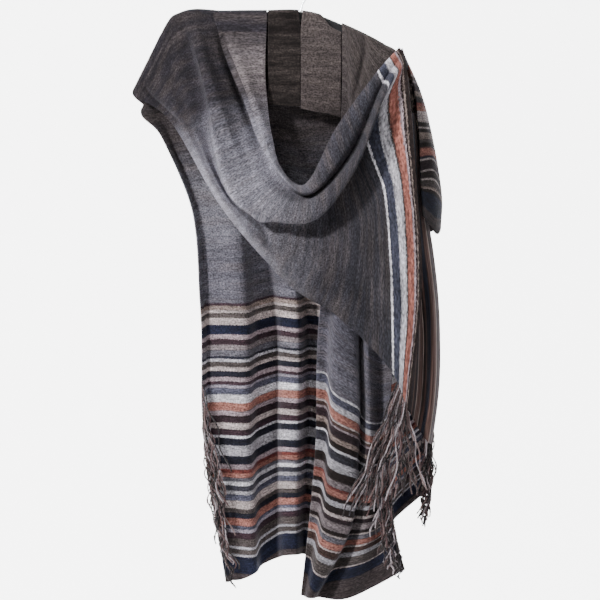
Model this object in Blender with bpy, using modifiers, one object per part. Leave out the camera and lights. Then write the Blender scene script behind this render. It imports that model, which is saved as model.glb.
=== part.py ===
# Open-front wool poncho on a plain hanger, one front thrown over the other shoulder.
# Blender 4.5, metres, +Z up. The origin is where the hanger's hook rests, the front faces -Y.
import math

import bmesh
import bpy
import numpy as np
from mathutils import Vector

# Driving sizes in metres
HANGER_SPAN = 0.420
CLOTH = 0.0026
SEAM_GAP = 0.0003
CREST_RADIUS = 0.0080
REST_GAP = 0.0010
CREST_GAP = 0.0010
HOOK_WIRE = 0.0020
HOOK_RADIUS = 0.020
HANGER_HALF_THICKNESS = 0.0036
HANGER_ROUNDING = 0.0032
HANGER_HEIGHT_MIDDLE = 0.021
HANGER_HEIGHT_TIP = 0.013
LOCK_WIDTH = 0.0030
LOCK_TIP = 0.0016
STRIP_WIDTH = 0.0024
ROOT_INSET = 0.0004
LOCK_SWAY = 0.0012
LOCK_STOPS = (0.06, 0.36, 0.68, 1.0)

# The tables are laid out on one front drawing, in units of the hanger's span / 226:
# x to the right of the hook, d down from the hook's rest, f forward of the hanger.
UNIT = HANGER_SPAN / 226

ARC_STEPS = 4
NECK_SEAM_DEGREES = 45.0
NECK_SEAM_LAP = 7.0
NECK_LEFT, NECK_RIGHT, NECK_RAMP = -46.0, 36.0, 3.0
HOOK_FOOT_X = -7.5
ARM_TIPS_X = (-118.0, 79.0)

# The line over the shoulders on which the back and the fronts meet: x, d
RIDGE = (
    (-178, 124), (-172, 112), (-160, 88), (-146, 60), (-137, 45), (-128, 40),
    (-83, 38), (-41, 37.5), (-8, 37.5), (12, 41.5), (33, 50), (77, 72),
    (89, 80), (97, 96), (103, 116), (107, 138),
)

# Back panel. Columns: fold, then x at ridge, blade, ribs, waist, thigh and hem, d of the
# hem, then f at blade, ribs, waist, thigh and hem.
BACK_LEVELS = (177, 227, 327, 477)
BACK_FOLDS = (
    ("arm edge left", -175, -140, -118, -108, -103, -82, 610, -6, -8, -8, -8, -6),
    ("edge curl", -169, -136, -114, -104, -99, -78.5, 610, -9, -12, -14, -14, -11),
    ("nick", -162, -131, -109, -100, -95, -75, 609, -13, -19, -24, -24, -18),
    ("face left", -152, -121, -101, -91, -86, -69, 608, -12, -14, -12, -11, -9),
    ("face right", -122, -92, -75, -62, -59, -52, 600, -12, -12, -10, -9, -8),
    ("slope", -108, -79, -63, -52, -50, -46, 594, -17, -24, -34, -36, -26),
    ("valley", -96, -68, -50, -36, -34, -32, 588, -20, -28, -40, -42, -30),
    ("rib left", -80, -56, -41, -27, -25, -23, 584, -16, -18, -21, -20, -15),
    ("rib right", -66, -45, -29, -13, -12, -13, 583, -13, -14, -14, -13, -11),
    ("recess", -46, -30, -15, -1, 0, -4, 584, -20, -29, -41, -43, -30),
    ("inner crest", -18, -6, 8, 26, 24, 16, 590, -14, -15, -17, -16, -12),
    ("inner valley", 12, 20, 34, 50, 48, 38, 592, -19, -28, -38, -40, -32),
    ("outer crest", 42, 48, 60, 74, 74, 60, 580, -15, -17, -18, -17, -14),
    ("outer valley", 76, 80, 86, 98, 100, 88, 548, -19, -28, -36, -36, -30),
    ("arm edge right", 106, 114, 117, 121, 123, 122, 517, -10, -13, -16, -18, -16),
)

# Front under the wrap. Columns: fold, x at ridge, chest, ribs, waist, thigh, shin and
# hem, d of the hem, then f at chest, ribs, waist, thigh, shin and hem.
FRONT_LEVELS = (147, 247, 357, 477, 557)
FRONT_FOLDS = (
    ("slit edge", 34, 33, 23, 10, 7, 0, -7, 619, 6, 12, 19, 22, 26, 28),
    ("slit strip", 37, 38, 30, 19, 16, 7, -4, 620, 5, 10, 17, 20, 24, 27),
    ("main fold", 42, 44, 37, 26, 23, 15, 0, 621, 9, 18, 32, 36, 38, 37),
    ("main fold edge", 50, 53, 50, 47, 47, 38, 6, 621, 8, 17, 28, 31, 34, 35),
    ("deep valley", 55, 57, 53, 51, 51, 42, 10, 622, 6, 9, 11, 12, 14, 19),
    ("second fold", 63, 66, 61, 58, 60, 56, 34, 623, 8, 15, 26, 28, 30, 31),
    ("back fold", 76, 78, 74, 71, 72, 72, 64, 612, 6, 9, 15, 16, 19, 22),
    ("arm edge", 90, 89, 88, 86, 80, 86, 96, 594, 6, 10, 20, 22, 26, 26),
)

# Front thrown across the chest, as lines from the left shoulder to the right one, from
# the neck outwards. Columns: line, shoulder x, then x, d, f at each station.
WRAP_STATIONS = (0.0, 0.2, 0.38, 0.5, 0.68, 0.86, 1.0)
WRAP_LINES = (
    ("slit edge", -41, (-42, 117, 9), (-29, 193, 24), (-6, 214, 31), (29, 155, 25),
     (69, 100, 15), (91, 75, 3.5)),
    ("band", -68, (-54, 117, 17), (-29, 196, 32), (-5, 218, 38), (33, 168, 33),
     (70, 103, 18), (92, 76, 4.5)),
    ("band edge", -94, (-64, 118, 20), (-30, 200, 36), (-3, 222, 40), (37, 181, 35),
     (72, 108, 19), (93, 78, 5.5)),
    ("groove", -92, (-62, 119, 5), (-30, 203, 19), (-4, 224, 24), (40, 184, 18),
     (74, 112, 12), (95, 81, 6.5)),
    ("second roll", -103, (-77, 122, 8), (-45, 216, 28), (-6, 233, 43), (46, 187, 40),
     (76, 112, 21), (96, 84, 8.5)),
    ("roll ridge", -117, (-99, 129, 26), (-66, 232, 45), (-9, 251, 50), (42, 206, 47),
     (78, 119, 27), (97, 90, 12)),
    ("shadow", -126, (-105, 134, 12), (-68, 234, 27), (-9, 249, 30), (37, 204, 28),
     (60, 152, 14), (99, 102, 14)),
    ("upper fall", -143, (-119, 142, 13), (-71, 239, 31), (-13, 278, 38), (46, 256, 35),
     (75, 222, 30), (107, 205, 29)),
    ("lower fall", -160, (-127, 148, 14), (-75, 242, 32), (-20, 297, 44), (40, 314, 45),
     (81, 312, 42), (112, 317, 37)),
    ("arm edge", -175, (-134, 153, 8), (-79, 244, 24), (-25, 306, 37), (32, 345, 38),
     (83, 399, 39), (99, 437, 34)),
)

# The wrap's end, folded back behind its striped edge. Columns: line, then x, d, f.
END_STATIONS = (0.0, 0.15, 0.3, 0.45, 0.7, 0.9, 1.0)
END_TUCK = 0.97
END_LINES = (
    ("recess", (103, 140, 9), (105, 177, 9), (107, 227, 8), (111, 277, 11),
     (116, 357, 18), (116, 427, 18), (113, 460, 20)),
    ("face", (105, 140, 4), (109, 177, 3), (113, 227, 0), (119, 277, 6),
     (123, 357, 25), (122, 427, 24), (118, 467, 24)),
    ("hem", (106, 140, 0), (112, 177, -2), (117, 227, -7), (125, 277, -1),
     (131, 357, 14), (129, 427, 14), (123, 471, 14)),
)

# The wrap's tail over the right shoulder and down the back. Columns as above.
TAIL_STATIONS = (0.0, 0.2, 0.45, 0.75, 1.0)
TAIL_LINES = (
    ("front edge", (94, 75.5, 1.8), (105, 112, 7), (110, 157, 12), (112, 207, 15),
     (114, 243, 17)),
    ("side front", (93.5, 76, 0.4), (109, 113, 2), (119, 157, 6), (126, 207, 6),
     (128, 261, 6)),
    ("side", (93, 77, -1.5), (111, 115, -6), (123, 157, -8), (134, 222, -10),
     (133, 253, -10)),
    ("back side", (92, 79, -4), (104, 113, -16), (116, 157, -25), (124, 207, -31),
     (122, 259, -33)),
    ("back", (90, 81, -6.1), (88, 107, -21), (90, 157, -38), (94, 207, -43),
     (92, 263, -45)),
    ("inner back", (87, 82, -6.2), (70, 103, -21), (60, 157, -35), (56, 207, -40),
     (54, 259, -41)),
    ("inner edge", (83, 82, -6.2), (54, 99, -19), (32, 152, -36), (22, 202, -42),
     (17, 249, -42)),
)

# Turned-over neck edge in two pieces. Columns: line, x at ridge, hanger, middle and hem, d
# of the hem, f at hanger, middle and hem, how far the top edge has slid over the crest.
NECK_LEVELS = (52, 87)
NECK_LEFT_FOLDS = (
    ("outer", -40, -40, -40, -39.5, 132, 4.9, 4.8, 4.6, 0),
    ("middle", -24, -24, -24, -24, 133, 5.0, 5.2, 5.2, 0),
    ("inner", -9.2, -8.0, -7.8, -7.7, 134, 4.8, 4.9, 4.8, 0),
)
NECK_RIGHT_FOLDS = (
    ("inner", -5.8, -7.0, -7.2, -7.2, 136, 4.8, 4.9, 4.8, 0),
    ("middle", 8, 8, 8, 8, 139, 5.3, 5.2, 5.0, 0),
    ("outer", 20, 20, 20, 20, 141, 5.2, 4.7, 4.6, 9.5),
    ("shoulder", 32.2, 32.8, 33.0, 32.4, 144, 4.8, 4.2, 4.0, 17),
)

# Colours of the solids, linear
GREY_WOOL = (0.115, 0.112, 0.130)
STRIPED_WOOL = (0.160, 0.110, 0.105)
FRINGE_YARN = (0.250, 0.190, 0.170)
BLACK_PLASTIC = (0.012, 0.012, 0.013)
STEEL = (0.620, 0.620, 0.630)


def spline(knots, values, at):
    """Smooth curve through values at knots, read at the places in at."""
    knots = np.asarray(knots, float)
    values = np.asarray(values, float)
    at = np.asarray(at, float)
    gap = np.diff(knots).reshape((-1,) + (1,) * (values.ndim - 1))
    slope = np.diff(values, axis=0) / gap
    tangent = np.empty_like(values)
    tangent[0], tangent[-1] = slope[0], slope[-1]
    tangent[1:-1] = (slope[:-1] * gap[1:] + slope[1:] * gap[:-1]) / (gap[1:] + gap[:-1])
    i = np.clip(np.searchsorted(knots, at, side="right") - 1, 0, len(knots) - 2)
    shape = (-1,) + (1,) * (values.ndim - 1)
    t = ((at - knots[i]) / (knots[i + 1] - knots[i])).reshape(shape)
    h = gap[i]
    start, end = values[i], values[i + 1]
    return ((2 * t**3 - 3 * t**2 + 1) * start + (t**3 - 2 * t**2 + t) * h * tangent[i]
            + (-2 * t**3 + 3 * t**2) * end + (t**3 - t**2) * h * tangent[i + 1])


def ridge_depth(x):
    """How far down the shoulder line lies at x."""
    table = np.array(RIDGE, float)
    return spline(table[:, 0], table[:, 1], np.asarray(x, float).ravel())


def ramp(x, start, end):
    t = np.clip((np.asarray(x, float) - start) / (end - start), 0.0, 1.0)
    return t * t * (3 - 2 * t)


def back_start(x):
    """Angle behind the crest where the back begins, larger at the neck."""
    at_neck = ramp(x, NECK_LEFT - NECK_RAMP, NECK_LEFT + NECK_RAMP)
    at_neck = at_neck * (1 - ramp(x, NECK_RIGHT - NECK_RAMP, NECK_RIGHT + NECK_RAMP))
    gap = math.degrees(CREST_GAP / 2 / CREST_RADIUS)
    return gap + (NECK_SEAM_DEGREES - gap) * at_neck


def front_start(x):
    gap = math.degrees(CREST_GAP / 2 / CREST_RADIUS)
    return np.full(np.shape(x), gap)


def neck_start(slid):
    """Start angle and drop of a neck edge that has slid forward over the crest."""
    behind = NECK_SEAM_LAP - NECK_SEAM_DEGREES
    angle = behind + np.degrees(slid * UNIT / CREST_RADIUS)
    drop = np.radians(angle - 90.0).clip(0.0) * CREST_RADIUS / UNIT
    return angle.clip(behind, 90.0), drop


def place(points):
    """Drawing units x, d, f to metres."""
    x, d, f = np.moveaxis(np.asarray(points, float), -1, 0)
    return np.stack([x, -f, -d], axis=-1) * UNIT


def loft(lines, along, columns, rows):
    """Rows from the first station to the last, columns from the first line to the last."""
    lines = np.asarray(lines, float)
    down = spline(along, np.moveaxis(lines, 0, 1), np.linspace(0, 1, rows + 1))
    middle = np.linalg.norm(np.diff(lines, axis=0), axis=2).mean(axis=1)
    across = np.concatenate([[0.0], np.cumsum(middle)]) / middle.sum()
    grid = spline(across, np.moveaxis(down, 1, 0), np.linspace(0, 1, columns + 1))
    return np.moveaxis(grid, 0, 1)


def over_crest(grid, side, start_degrees, drop=0.0):
    """Adds the rows that bend over the hanger, on to a grid that hangs from its side."""
    radius = CREST_RADIUS / UNIT
    x = grid[0, :, 0]
    crest = ridge_depth(x) + drop
    shift = crest + radius - grid[0, :, 1]
    fade = np.linspace(1, 0, len(grid))[:, None] ** 4
    grid[:, :, 1] += shift * fade
    grid[0, :, 2] = side * radius
    rows = []
    for step in range(ARC_STEPS):
        angle = np.radians(start_degrees + (90.0 - start_degrees) * step / ARC_STEPS)
        f = side * radius * np.sin(angle)
        rows.append(np.stack([x, crest + radius * (1 - np.cos(angle)), f], axis=-1))
    return np.concatenate([np.array(rows), grid], axis=0)


def hung_lines(folds, levels, side):
    """Fold table to lines of x, d, f from the ridge to the hem."""
    count = len(levels)
    lines = []
    for row in folds:
        x = row[1:count + 3]
        f = row[count + 4:2 * count + 5]
        top = float(ridge_depth(x[0])[0]) + CREST_RADIUS / UNIT
        d = [top, *levels, row[count + 3]]
        lines.append(list(zip(x, d, (side * CREST_RADIUS / UNIT, *f))))
    stops = np.array([40.0, *levels, np.mean([row[count + 3] for row in folds])])
    return lines, (stops - stops[0]) / (stops[-1] - stops[0])


def wrap_lines():
    lines = []
    for row in WRAP_LINES:
        top = float(ridge_depth(row[1])[0]) + CREST_RADIUS / UNIT
        lines.append([(row[1], top, CREST_RADIUS / UNIT), *row[2:]])
    return lines


def back_grid(columns, rows):
    lines, along = hung_lines(BACK_FOLDS, BACK_LEVELS, -1)
    grid = loft(lines, along, columns, rows)
    return place(over_crest(grid, -1, back_start(grid[0, :, 0])))


def front_grid(columns, rows):
    lines, along = hung_lines(FRONT_FOLDS, FRONT_LEVELS, 1)
    grid = loft(lines, along, columns, rows)
    return place(over_crest(grid, 1, front_start(grid[0, :, 0])))


def wrap_grid(columns, rows):
    grid = loft(wrap_lines(), WRAP_STATIONS, columns, rows)
    return place(over_crest(grid, 1, front_start(grid[0, :, 0])))


def neck_grid(folds, columns, rows):
    lines, along = hung_lines(folds, NECK_LEVELS, 1)
    grid = loft(lines, along, columns, rows)
    slid = np.interp(grid[0, :, 0], [row[1] for row in folds], [row[-1] for row in folds])
    start, drop = neck_start(slid)
    return place(over_crest(grid, 1, start, drop))


def tucked_line():
    """The wrap's own line near its striped edge, moved back by a wall and a gap."""
    rows = 200
    grid = loft(wrap_lines(), WRAP_STATIONS, rows, rows)
    line = grid[round(END_TUCK * rows)]
    inner = grid[round(END_TUCK * rows) - 2]
    step = np.gradient(line, axis=0)
    normal = np.cross(line - inner, step)
    normal /= np.linalg.norm(normal, axis=1)[:, None]
    normal *= -np.sign(normal[:, 2])[:, None]
    moved = line + normal * (CLOTH + SEAM_GAP) / UNIT
    lowest = END_LINES[0][-1][1]
    depths = np.interp(END_STATIONS, (0, 1), (END_LINES[0][1][1], lowest - 8))
    return [[np.interp(d, moved[:, 1], moved[:, k]) for k in range(3)] for d in depths]


def end_grid(columns, rows):
    lines = [tucked_line(), *(row[1:] for row in END_LINES)]
    return place(loft(lines, END_STATIONS, columns, rows))


def tail_grid(columns, rows):
    return place(loft([row[1:] for row in TAIL_LINES], TAIL_STATIONS, columns, rows))


def material(name, colour, roughness, metallic=0.0):
    made = bpy.data.materials.new(name)
    made.use_nodes = True
    shader = made.node_tree.nodes["Principled BSDF"]
    shader.inputs["Base Color"].default_value = (*colour, 1.0)
    shader.inputs["Roughness"].default_value = roughness
    shader.inputs["Metallic"].default_value = metallic
    return made


def cloth(name, grid, finish, parts):
    """A wall of cloth over a grid of points."""
    rows, columns = grid.shape[0] - 1, grid.shape[1] - 1
    bm = bmesh.new()
    bmesh.ops.create_grid(bm, x_segments=columns, y_segments=rows, size=1.0)
    for vertex in bm.verts:
        column = round((vertex.co.x + 1) / 2 * columns)
        row = round((1 - vertex.co.y) / 2 * rows)
        vertex.co = grid[row, column]
    mesh = bpy.data.meshes.new(name)
    bm.to_mesh(mesh)
    bm.free()
    mesh.shade_smooth()
    piece = bpy.data.objects.new(name, mesh)
    wall = piece.modifiers.new("wall", "SOLIDIFY")
    wall.thickness = CLOTH
    wall.offset = 0.0
    piece.data.materials.append(finish)
    parts.objects.link(piece)
    return piece


def ring(bm, centre, side, front, half_side, half_front):
    corners = ((-1, -1), (1, -1), (1, 1), (-1, 1))
    return [bm.verts.new(centre + side * half_side * a + front * half_front * b)
            for a, b in corners]


def bridge(bm, first, second):
    faces = []
    for k in range(4):
        pair = (first[k], first[(k + 1) % 4], second[(k + 1) % 4], second[k])
        faces.append(bm.faces.new(pair))
    return faces


def lock(bm, root, along, start, lean, length, wave):
    """A lock of yarn grown from one face of the strip, bending from start to downwards."""
    bmesh.ops.inset_individual(bm, faces=[root], thickness=ROOT_INSET)
    centre = root.calc_center_median()
    across = start.cross(along).normalized()
    bend = start.rotation_difference(Vector((0, 0, -1)))
    corners = []
    for vertex in root.verts:
        away = vertex.co - centre
        mixed = along * math.copysign(1, away.dot(along))
        mixed += across * math.copysign(1, away.dot(across))
        flat = bend @ mixed
        flat.z = 0
        corners.append(flat.normalized())
    face = root
    for stop in LOCK_STOPS:
        face = bmesh.ops.extrude_discrete_faces(bm, faces=[face])["faces"][0]
        drop = length * stop
        out = start * min(1.0, stop / LOCK_STOPS[0]) * LOCK_WIDTH
        sway = Vector((wave * math.sin(math.pi * 1.6 * stop), 0, 0))
        target = centre + out + lean * drop + sway - Vector((0, 0, drop))
        size = LOCK_WIDTH + (LOCK_TIP - LOCK_WIDTH) * stop
        for vertex, corner in zip(face.verts, corners):
            vertex.co = target + corner * size * math.sqrt(0.5)


def mixed(pair, share):
    return pair[0] * (1 - share) + pair[1] * share


def fringe(name, edge, away, start, leans, lengths, per_span, finish, parts):
    """A narrow strip beside a cloth edge, with a lock for each of its spans."""
    start = Vector(start)
    leans = [Vector(lean) for lean in leans]
    bm = bmesh.new()
    stops = np.linspace(0, len(edge) - 1, (len(edge) - 1) * per_span + 1)
    places = [np.interp(stops, range(len(edge)), edge[:, k]) for k in range(3)]
    turns = [np.interp(stops, range(len(edge)), away[:, k]) for k in range(3)]
    rings = []
    centres = [Vector(point) for point in zip(*places)]
    for index, side in enumerate(Vector(turn) for turn in zip(*turns)):
        side.normalize()
        ahead = centres[min(index + 1, len(centres) - 1)] - centres[max(index - 1, 0)]
        middle = centres[index] + side * (SEAM_GAP + STRIP_WIDTH / 2)
        normal = side.cross(ahead).normalized()
        rings.append(ring(bm, middle, side, normal, STRIP_WIDTH / 2, CLOTH / 2))
    spans = [bridge(bm, rings[i], rings[i + 1]) for i in range(len(rings) - 1)]
    bm.faces.new(rings[0])
    bm.faces.new(rings[-1])
    bmesh.ops.recalc_face_normals(bm, faces=bm.faces)
    roots = [max(span, key=lambda face: face.normal.dot(start)) for span in spans]
    for index, root in enumerate(roots):
        share = index / max(1, len(roots) - 1)
        wave = LOCK_SWAY * math.sin(2.1 * index)
        length = mixed(lengths, share) * (1 + 0.06 * math.cos(3.7 * index))
        along = (centres[index + 1] - centres[index]).normalized()
        lock(bm, root, along, start, mixed(leans, share), length, wave)
    bmesh.ops.recalc_face_normals(bm, faces=bm.faces)
    mesh = bpy.data.meshes.new(name)
    bm.to_mesh(mesh)
    bm.free()
    piece = bpy.data.objects.new(name, mesh)
    piece.data.materials.append(finish)
    parts.objects.link(piece)
    return piece


def hanger_body(finish, parts):
    """A flat arch under the shoulder line, rounded all along its edge."""
    left, right = ARM_TIPS_X
    x = np.linspace(left, right, 25)
    crest = ridge_depth(x)
    slant = np.sqrt(1 + np.gradient(crest, x) ** 2)
    top = -crest * UNIT - (HANGER_ROUNDING + CLOTH / 2 + REST_GAP) * slant
    middle = 1 - (np.abs(x - HOOK_FOOT_X) / (right - HOOK_FOOT_X)).clip(0, 1)
    height = HANGER_HEIGHT_TIP + (HANGER_HEIGHT_MIDDLE - HANGER_HEIGHT_TIP) * middle
    low = top - (height - 2 * HANGER_ROUNDING)
    outline = [(a * UNIT, b) for a, b in zip(x, top)]
    outline += [(a * UNIT, b) for a, b in zip(x[::-1], low[::-1])]
    curve = bpy.data.curves.new("hanger_body", "CURVE")
    curve.dimensions = "2D"
    curve.fill_mode = "BOTH"
    curve.extrude = HANGER_HALF_THICKNESS - HANGER_ROUNDING
    curve.bevel_depth = HANGER_ROUNDING
    curve.bevel_resolution = 2
    line = curve.splines.new("POLY")
    line.points.add(len(outline) - 1)
    for point, (a, b) in zip(line.points, outline):
        point.co = (a, b, 0.0, 1.0)
    line.use_cyclic_u = True
    piece = bpy.data.objects.new("hanger_body", curve)
    piece.rotation_euler = (math.radians(90), 0, 0)
    curve.materials.append(finish)
    parts.objects.link(piece)
    return piece


def hanger_hook(finish, parts):
    """Round wire: a tilted shaft into a hook whose inner top is the origin."""
    centre = np.array([0.0, -(HOOK_RADIUS - HOOK_WIRE)])
    top = -float(ridge_depth(HOOK_FOOT_X)[0]) * UNIT - CLOTH / 2 - REST_GAP
    foot = np.array([HOOK_FOOT_X * UNIT, top + SEAM_GAP])
    shaft = centre - foot
    length = np.linalg.norm(shaft)
    up = shaft / length
    across = np.array([up[1], -up[0]])
    points = [foot + up * length * t for t in (0.0, 0.12, 0.25)]
    points.append(foot + up * length * 0.42 + across * HOOK_RADIUS * 0.12)
    points.append(foot + up * length * 0.56 + across * HOOK_RADIUS * 0.38)
    for degrees in range(-45, 211, 15):
        turn = math.radians(degrees)
        spoke = across * math.cos(turn) + up * math.sin(turn)
        points.append(centre + spoke * HOOK_RADIUS)
    curve = bpy.data.curves.new("hanger_hook", "CURVE")
    curve.dimensions = "3D"
    curve.bevel_depth = HOOK_WIRE
    curve.bevel_resolution = 2
    curve.use_fill_caps = True
    line = curve.splines.new("POLY")
    line.points.add(len(points) - 1)
    for point, (a, b) in zip(line.points, points):
        point.co = (a, 0.0, b, 1.0)
    piece = bpy.data.objects.new("hanger_hook", curve)
    curve.materials.append(finish)
    parts.objects.link(piece)
    return piece


def arm_fringe(name, grid, column, span, start, leans, lengths, per_span, finish, parts):
    """Fringe on a side edge of a panel, between two heights of the drawing."""
    edge = grid[:, column]
    step = edge - grid[:, 1 if column == 0 else -2]
    depth = -edge[:, 2] / UNIT
    rows = (depth > span[0]) & (depth < span[1])
    away = step / np.linalg.norm(step, axis=1)[:, None]
    fringe(name, edge[rows], away[rows], start, leans, lengths, per_span, finish, parts)


def main():
    for old in list(bpy.data.objects):
        bpy.data.objects.remove(old, do_unlink=True)
    parts = bpy.data.collections.new("poncho")
    bpy.context.scene.collection.children.link(parts)

    grey = material("grey wool", GREY_WOOL, 0.95)
    striped = material("striped wool", STRIPED_WOOL, 0.95)
    yarn = material("fringe yarn", FRINGE_YARN, 0.9)
    plastic = material("black plastic", BLACK_PLASTIC, 0.45)
    steel = material("plated steel", STEEL, 0.25, 1.0)

    back = back_grid(44, 20)
    front = front_grid(20, 20)
    wrap = wrap_grid(32, 34)
    end = end_grid(7, 14)
    cloth("back_panel", back, grey, parts)
    cloth("right_front", front, grey, parts)
    cloth("wrap_panel", wrap, grey, parts)
    cloth("wrap_end", end, striped, parts)
    cloth("wrap_tail", tail_grid(14, 12), striped, parts)
    cloth("neck_edge_left", neck_grid(NECK_LEFT_FOLDS, 4, 6), grey, parts)
    cloth("neck_edge_right", neck_grid(NECK_RIGHT_FOLDS, 7, 6), grey, parts)
    forward, down = (0, -1, 0), (0, 0, -1)
    arm_fringe("fringe_back_left", back, 0, (405, 600), forward,
               ((0.13, -0.20, 0), (0.24, -0.20, 0)), (0.165, 0.08), 3, yarn, parts)
    arm_fringe("fringe_back_right", back, -1, (405, 500), forward,
               ((-0.15, -0.30, 0), (-0.18, -0.32, 0)), (0.15, 0.10), 3, yarn, parts)
    arm_fringe("fringe_front", front, -1, (430, 596), forward,
               ((-0.18, -0.20, 0), (-0.10, -0.25, 0)), (0.17, 0.05), 3, yarn, parts)
    hem_edge = wrap[-5:, -1]
    hem_away = hem_edge - wrap[-5:, -2]
    fringe("fringe_wrap", hem_edge, hem_away, down, ((-0.34, -0.07, 0), (0.12, -0.05, 0)),
           (0.22, 0.12), 3, yarn, parts)
    hanger_body(plastic, parts)
    hanger_hook(steel, parts)


main()
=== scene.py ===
import math

import bpy
import numpy as np
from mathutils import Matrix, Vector


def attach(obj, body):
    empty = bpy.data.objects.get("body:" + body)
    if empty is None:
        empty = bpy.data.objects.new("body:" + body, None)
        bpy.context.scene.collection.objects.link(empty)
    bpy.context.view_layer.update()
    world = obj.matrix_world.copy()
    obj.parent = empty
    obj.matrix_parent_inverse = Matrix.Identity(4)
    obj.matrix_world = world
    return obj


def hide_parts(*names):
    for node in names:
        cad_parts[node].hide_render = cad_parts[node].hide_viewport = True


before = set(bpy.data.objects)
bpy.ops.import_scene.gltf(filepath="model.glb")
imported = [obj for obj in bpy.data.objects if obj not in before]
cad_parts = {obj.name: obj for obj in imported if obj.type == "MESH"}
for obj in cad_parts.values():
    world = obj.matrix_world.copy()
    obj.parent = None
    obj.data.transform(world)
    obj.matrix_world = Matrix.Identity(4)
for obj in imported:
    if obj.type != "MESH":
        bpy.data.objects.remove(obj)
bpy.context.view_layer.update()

# Drawing units, as in the part's source: x right of the hook, d down from it, f forward
hangerSpan = 0.420
unit = hangerSpan / 226
crestRadius = 0.0080
crestGap = 0.0010
seamGap = 0.0003
clothWall = 0.0026      # the solids' wall
shownWall = {"thickness": 0.0024, "rimShare": 0.3, "rimSegments": 2, "rimAngle": 62}
arcSteps = 8
neckSeam = {"degrees": 45.0, "lap": 7.0, "left": -46.0, "right": 36.0, "ramp": 3.0}

# Shoulder line on which back and fronts meet: x, d
shoulderLine = (
    (-178, 124), (-172, 112), (-160, 88), (-146, 60), (-137, 45), (-128, 40),
    (-83, 38), (-41, 37.5), (-8, 37.5), (12, 41.5), (33, 50), (77, 72),
    (89, 80), (97, 96), (103, 116), (107, 138),
)


def deselectAll():
    if bpy.context.object and bpy.context.object.mode != "OBJECT":
        bpy.ops.object.mode_set(mode="OBJECT")
    bpy.ops.object.select_all(action="DESELECT")


def activate(piece):
    deselectAll()
    piece.select_set(True)
    bpy.context.view_layer.objects.active = piece


def applyModifiers(piece):
    activate(piece)
    for modifier in list(piece.modifiers):
        bpy.ops.object.modifier_apply(modifier=modifier.name)


def hexColour(text):
    # sRGB hex to linear
    parts = [int(text[i:i + 2], 16) / 255 for i in (1, 3, 5)]
    return (*[c / 12.92 if c <= 0.04045 else ((c + 0.055) / 1.055) ** 2.4 for c in parts], 1.0)


def setInputs(tree, node, inputs):
    # for each socket a value, or what is linked to it: a socket, or a node's first output
    for key, value in inputs.items():
        if isinstance(value, bpy.types.Node):
            value = value.outputs[0]
        if isinstance(value, bpy.types.NodeSocket):
            tree.links.new(value, node.inputs[key])
        else:
            node.inputs[key].default_value = value


def addNode(tree, kind, inputs=None, **settings):
    node = tree.nodes.new("ShaderNode" + kind)
    for key, value in settings.items():
        setattr(node, key, value)
    setInputs(tree, node, inputs or {})
    return node


def addObject(name, data):
    thing = bpy.data.objects.new(name, data)
    bpy.context.scene.collection.objects.link(thing)
    return thing


def startMaterial(name):
    material = bpy.data.materials.new(name)
    material.use_nodes = True
    tree = material.node_tree
    tree.nodes.clear()
    shader = addNode(tree, "BsdfPrincipled")
    addNode(tree, "OutputMaterial", {"Surface": shader})
    return material, tree, shader


# Cloth and its stripes
wool = {
    "yarnSpacing": 0.0026,      # weft rows, drawn a little coarse so that they show
    "fuzz": 0.0024,             # how far fibres stray over a stripe's edge
    "waver": 0.003,             # how far the rows wander
    "feather": 0.0011,          # half the blend between two stripes
    "seamShade": 0.5,           # how dark the yarn is where two stripes meet
    "warm": "#554c49",          # the browner fibres of the blend
    "warmRange": (0.42, 0.7), "warmShare": 0.34,
    # noises on the flat cloth: size across and along in metres, detail, place in the noise
    "noises": {
        "fibres": (0.0026, 0.0013, 2.0, 0.0), "waver": (0.05, 0.02, 1.0, 3.0),
        "warm": (0.12, 0.020, 3.0, 31.0), "rows": (0.13, 0.011, 3.0, 7.0),
        "streaks": (0.014, 0.0030, 2.0, 11.0), "flecks": (0.0036, 0.0028, 2.0, 17.0),
        "clouds": (0.05, 0.03, 2.0, 23.0)},
    "noiseRange": (0.3, 0.7),   # the part of a noise that counts, as it seldom leaves it
    # heather: how much darker and paler each noise makes the fibres
    "depths": {"rows": 0.26, "streaks": 0.30, "flecks": 0.52, "clouds": 0.14},
    "groundStray": 4.0,         # how much further the ground's colours stray than the stripes
    "stripBlend": (-0.006, 0.004), "stripRise": 0.065, "stripShare": 0.7,
    "edgeHighlightWidth": 0.05,           # how far the painted highlight along a sheet's first edge reaches in
    "rib": 0.0075, "ribColours": ("#8d8179", "#4d4341"),    # the selvedge's ribs
    "ribRange": (0.1, 0.9), "selvedgeBlend": 0.002,
    "roughness": 0.94, "specular": 0.18,
    "sheen": 0.14, "sheenRoughness": 0.45, "sheenTint": "#c8c6d0",
    "bump": 0.0015, "bumpStrength": 0.55, "weaveHeight": 0.35, "napHeight": 1.3,
}

# Stripes of the back, from the first one under the grey down to the hem: colour, width in mm
backStripes = (
    ("burgundy", 5), ("tan", 8), ("cream", 6), ("greyBrown", 9), ("cream", 13), ("navy", 18),
    ("pink", 9), ("burgundy", 10), ("taupe", 10), ("grey", 11), ("darkNavy", 5),
    ("lightGrey", 6), ("greyBrown", 9), ("cream", 8), ("darkNavy", 11), ("pink", 9),
    ("burgundy", 6), ("lavender", 6), ("slate", 11), ("white", 15), ("orange", 16),
    ("pink", 9), ("plum", 13), ("cream", 12), ("burgundy", 12), ("white", 5),
    ("darkNavy", 13), ("lightGrey", 20), ("darkNavy", 15), ("pink", 9), ("red", 7),
    ("orange", 9), ("grey", 7), ("white", 8), ("darkGrey", 10), ("lightGrey", 7),
    ("slate", 11), ("cream", 15), ("greyBrown", 8), ("darkNavy", 10), ("orange", 14),
    ("slate", 6), ("lavender", 7), ("burgundy", 11), ("greyBrown", 15), ("lightGrey", 5),
    ("greyBrown", 9), ("lightGrey", 5), ("navy", 31), ("hemBrown", 40),
)

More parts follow.
